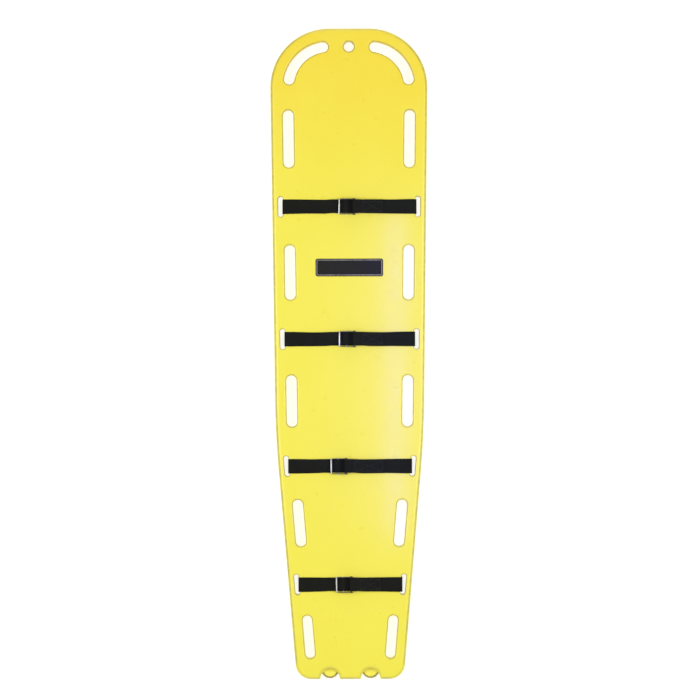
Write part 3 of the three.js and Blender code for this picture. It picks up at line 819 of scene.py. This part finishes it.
def strap_pieces(name):
    """One strap as six strips that meet face to face, cut where the buckle's joints bend it."""
    at = strap_facts(name)
    route, slot_edge = strap_route(name)
    run = np.concatenate([[0], np.cumsum(np.hypot(*np.diff(route, axis=0).T))])
    left_slot = int(np.argmin(route[:, 0]))
    cuts = [0.0]
    for x in (at["left"] - LEAD, at["left"], at["bar"].x, at["after"], at["pin"].x + 8):
        i = left_slot + np.nonzero(route[left_slot:, 0] > x)[0][0]
        t = (x - route[i - 1, 0]) / (route[i, 0] - route[i - 1, 0])
        cuts.append(run[i - 1] + t * (run[i] - run[i - 1]))
    cuts.append(run[-1])
    phase = {"chest": 0.0, "hip": 1.9, "thigh": 3.4, "shin": 5.1}[name]
    side = SELVEDGE + [(v, HALF_THICK) for v in (12.5, 6.2)]
    upper = [(-v, w) for v, w in side] + [(0, HALF_THICK)] + side[::-1]
    section = np.array(upper + [(v, -w) for v, w in reversed(upper)])
    strips = []
    for start, end in zip(cuts, cuts[1:]):
        inner = run[(run > start + 0.05) & (run < end - 0.05)]
        stations = np.concatenate([[start], inner, [end]])
        x, z = np.interp(stations, run, route[:, 0]), np.interp(stations, run, route[:, 1])
        ahead = np.minimum(stations + 0.4, run[-1])
        behind = np.maximum(stations - 0.4, 0)
        tx = np.interp(ahead, run, route[:, 0]) - np.interp(behind, run, route[:, 0])
        tz = np.interp(ahead, run, route[:, 1]) - np.interp(behind, run, route[:, 1])
        size = np.hypot(tx, tz)
        on_top = z > (TOP + UNDERSIDE) / 2
        free = smooth((slot_edge - 12 - np.abs(x)) / 70) * on_top
        held = smooth((64 - np.abs(x - at["left"] - 22)) / 26) * on_top
        # Widest in the slots, narrowest through the buckle, and never quite straight between them.
        squeeze = 1.085 - 0.050 * free - 0.019 * held
        drift = 0.5 * (free - held) * np.sin(x / 31 + phase) + 0.85 * held
        v, w = section.T
        ring = np.stack([
            x[:, None] - w * (tz / size)[:, None],
            at["y"] + drift[:, None] + v * squeeze[:, None],
            z[:, None] + w * (tx / size)[:, None],
        ], 2)
        uv = np.stack(np.broadcast_arrays(stations[:, None] * MM, v * MM), 2)
        strips.append((ring, uv))
    return strips


def stitch_run(a, b):
    """Evenly spaced stitches along a line in plan: (middle, direction) pairs."""
    a, b = np.array(a, float), np.array(b, float)
    size = np.hypot(*(b - a))
    count = max(1, round(size / STITCH_PITCH))
    return [(a + (b - a) * (i + 0.5) / count, (b - a) / size) for i in range(count)]


def tab_stitching(name):
    """A sewn box with a cross in it, holding the tab down; each stitch is a run of six-sided rings."""
    at = strap_facts(name)
    x0, x1 = at["pin"].x + TAB_FROM_PIN, TAB_END[name] - TAB_INSET
    z = TOP + layer(3) + HALF_THICK + 0.08
    y0, y1 = at["y"] - STITCH_HALF, at["y"] + STITCH_HALF
    corners = [(x0, y0), (x1, y0), (x1, y1), (x0, y1)]
    lines = [*zip(corners, corners[1:] + corners[:1]), (corners[0], corners[2]), (corners[1], corners[3])]
    points, quads = [], []
    ring = np.arange(6) * math.pi / 3
    steps = [(-1.6, 0.12, 0.3), (-1.25, 0.3, 0.08), (0, 0.36, 0), (1.25, 0.3, 0.08), (1.6, 0.12, 0.3)]
    for a, b in lines:
        for middle, along in stitch_run(a, b):
            across = np.array((-along[1], along[0]))
            base = len(points)
            for t, r, sink in steps:
                for angle in ring:
                    plan = middle + along * t + across * r * math.cos(angle)
                    points.append((plan[0], plan[1], z - sink + r * math.sin(angle)))
            for k in range(4):
                for j in range(6):
                    low, high, onward = base + k * 6, base + k * 6 + 6, (j + 1) % 6
                    quads.append((low + j, low + onward, high + onward, high + j))
            for k in (0, 24):
                quads.append((base + k, base + k + 1, base + k + 2, base + k + 3))
                quads.append((base + k + 3, base + k + 4, base + k + 5, base + k))
    obj = mesh_object(f"{name}_tab_stitching", points, [quads])
    bm = bmesh.new()
    bm.from_mesh(obj.data)
    bmesh.ops.recalc_face_normals(bm, faces=bm.faces)
    bm.to_mesh(obj.data)
    bm.free()
    return obj


STRIP_NAMES = ("main", "lead", "over_bar_in", "over_bar_out", "under_pin", "tail")
for name in STRAPS:
    at = strap_facts(name)
    made = [loft(f"{name}_web_{part}", *strip) for part, strip in zip(STRIP_NAMES, strap_pieces(name))]
    for obj in made:
        place(obj, None, WEBBING, "webbing")
    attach(made[0], "board")
    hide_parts(f"{name}_strap_web")
    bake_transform(made[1])
    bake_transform(made[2])
    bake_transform(made[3])
    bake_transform(made[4])
    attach(made[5], "board")
    place(tab_stitching(name), "board", THREAD, "webbing")

# ------------------------------------------------------------------ buckles


def softened(name, node, width):
    """A copy of a pressed part with its hard edges rolled over."""
    bm = bmesh.new()
    bm.from_mesh(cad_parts[node].data)
    bmesh.ops.remove_doubles(bm, verts=bm.verts, dist=2e-6)
    bmesh.ops.dissolve_limit(bm, angle_limit=math.radians(1.5), verts=bm.verts, edges=bm.edges)
    hard = [e for e in bm.edges if len(e.link_faces) == 2 and e.calc_face_angle() > math.radians(40)]
    bmesh.ops.bevel(bm, geom=hard, offset=width, segments=2, profile=0.6, affect="EDGES", clamp_overlap=True)
    bmesh.ops.triangulate(bm, faces=[f for f in bm.faces if len(f.verts) > 4])
    mesh = bpy.data.meshes.new(name)
    bm.to_mesh(mesh)
    bm.free()
    mesh.materials.clear()
    mesh.shade_smooth()
    mesh.set_sharp_from_angle(angle=math.radians(50))
    obj = bpy.data.objects.new(name, mesh)
    bpy.context.scene.collection.objects.link(obj)
    return obj


def polish_and_shade_mask(obj, clear=None):
    """How bright each point of a steel part is kept: all of it, or only a band along its left edge; the rest
    is painted nearly black as painted shade.
    """
    x = np.array([v.co.x for v in obj.data.vertices])
    value = np.ones(len(x)) if clear is None else smooth((x.min() + clear - x) / 0.0015)
    obj.data.attributes.new("polish_and_shade", "FLOAT", "POINT").data.foreach_set("value", value.astype(np.float32))
    return obj


def both_ends(half):
    """A half profile of (radius, distance from the middle, fluted?) mirrored into a whole one."""
    return half + [(r, -y, k) for r, y, k in reversed(half)]


# Only the end bar's band stays bright; the rest of each frame is painted dark as painted shade.
FRAME_ROLL, END_BAR_BRIGHT = 0.0004, 0.0045  # metres: rolled edge, width that is worn bright
KNOB_LENGTH, RAIL_FROM_END = 1.5, 3.3  # mm in from a bar's end to the cheek's outside and inside
for name in STRAPS:
    at = strap_facts(name)
    frame_copy = softened(f"{name}_frame", f"{name}_buckle_frame", FRAME_ROLL)
    frame_copy = polish_and_shade_mask(frame_copy, END_BAR_BRIGHT)
    place(frame_copy, f"{name}_buckle", STEEL, "plated_steel", f"{name}_buckle_frame")
    bar_lo, bar_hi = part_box(f"{name}_buckle_slide_bar")
    reach = (bar_hi.y - bar_lo.y) / 2 / MM
    cheek, rail = reach - KNOB_LENGTH, reach - RAIL_FROM_END
    knob = [(2.0, reach, 0), (3.0, reach - 0.1, 0), (3.2, reach - 0.5, 0), (3.2, cheek + 0.2, 0)]
    neck = [(3.0, cheek, 0), (1.8, cheek, 0), (1.8, rail - 0.4, 0), (2.4, rail - 0.4, 0)]
    grip = [(3.0, rail - 1.0, 0), (3.0, rail - 1.6, 1)]
    profile = both_ends(knob + neck + grip)
    bar = turned(f"{name}_knurled_bar", profile, tuple(at["bar"]), segments=56, flute=0.3, teeth=28)
    place(polish_and_shade_mask(bar), f"{name}_slide_bar", STEEL, "plated_steel", f"{name}_buckle_slide_bar")
    dome = [(1.2, reach, 0), (2.4, reach - 0.05, 0), (3.3, reach - 0.35, 0), (3.85, reach - 0.9, 0)]
    shank = [(3.9, cheek, 0), (2.5, cheek, 0), (2.5, 12, 0)]
    pin = turned(f"{name}_rivet_pin", both_ends(dome + shank), tuple(at["pin"]), segments=28)
    place(polish_and_shade_mask(pin, 0.0), "board", STEEL, "plated_steel", f"{name}_buckle_pin")

# ------------------------------------------------------------------ floor, light and camera


def stage_floor():
    """A plain pale table that gives off a little light, so that it stays white under the board."""
    f = Finish("studio_table", Roughness=0.9, Emission_Strength=0.80)
    where = f.place()
    grain = f.noise(where, 8.0, 3.0)
    f.feed("Base Color", f.mix(grain, (0.34, 0.34, 0.31, 1), (0.36, 0.36, 0.33, 1)))
    f.feed("Emission Color", f.mix(grain, (0.98, 0.98, 0.98, 1), (1.0, 1.0, 1.0, 1)))
    reach, count, drop = 6.0, 9, 0.0004
    steps = np.linspace(-reach, reach, count)
    x, y = np.meshgrid(steps, steps)
    points = np.stack([x.ravel(), y.ravel(), np.full(x.size, -drop)], 1)
    index = np.arange(x.size).reshape(x.shape)
    quads = np.stack([index[:-1, :-1], index[:-1, 1:], index[1:, 1:], index[1:, :-1]], 2).reshape(-1, 4)
    obj = mesh_object("studio_floor", points, [quads], 1.0)
    obj.data.materials.append(f.material)


def softbox(name, location, size, target, energy, colour=(1, 1, 1)):
    data = bpy.data.lights.new(name, "AREA")
    data.shape = "RECTANGLE"
    data.size, data.size_y = size
    data.energy = energy
    data.color = colour
    obj = bpy.data.objects.new(name, data)
    obj.location = location
    obj.rotation_euler = (Vector(target) - Vector(location)).to_track_quat("-Z", "Y").to_euler()
    obj.visible_camera = False
    bpy.context.scene.collection.objects.link(obj)


stage_floor()
world = bpy.data.worlds.new("studio")
world.use_nodes = True
world.node_tree.nodes["Background"].inputs["Color"].default_value = (1.0, 1.0, 1.0, 1)
world.node_tree.nodes["Background"].inputs["Strength"].default_value = 0.42
bpy.context.scene.world = world
for name, x in (("side_left", -2.7), ("side_right", 2.7)):
    softbox(name, (x, -0.1, 2.6), (1.6, 4.0), (0, -0.1, 0), 83)
softbox("head_end", (0, 3.0, 0.7), (1.6, 0.8), (0, 0.9, 0), 12)
softbox("foot_end", (0, -3.0, 0.7), (1.6, 0.8), (0, -0.9, 0), 8)
SHEEN_MIDDLE = (0.126, -0.06, 0)  # of the pale band along the right-hand side
softbox("strip_right", (0.126, -0.06, 0.32), (0.05, 0.92), SHEEN_MIDDLE, 1.4, (0.02, 0.02, 1.0))

PHOTO_WIDTH = 1.966  # metres across the frame, at the board's top
PHOTO_CENTRE = Vector((0.0013, 0.0107, TOP * MM))
CAMERA_HEIGHT = 9.5
lens = bpy.data.cameras.new("camera")
lens.sensor_width = 36.0
lens.lens = lens.sensor_width * CAMERA_HEIGHT / PHOTO_WIDTH
lens.clip_end = 60.0
camera = bpy.data.objects.new("camera", lens)
camera.location = PHOTO_CENTRE + Vector((0, 0, CAMERA_HEIGHT))
camera.rotation_euler = (0, 0, math.radians(-0.15))
bpy.context.scene.collection.objects.link(camera)
bpy.context.scene.camera = camera
bpy.context.scene.view_settings.view_transform = "Standard"
bpy.context.scene.view_settings.look = "None"
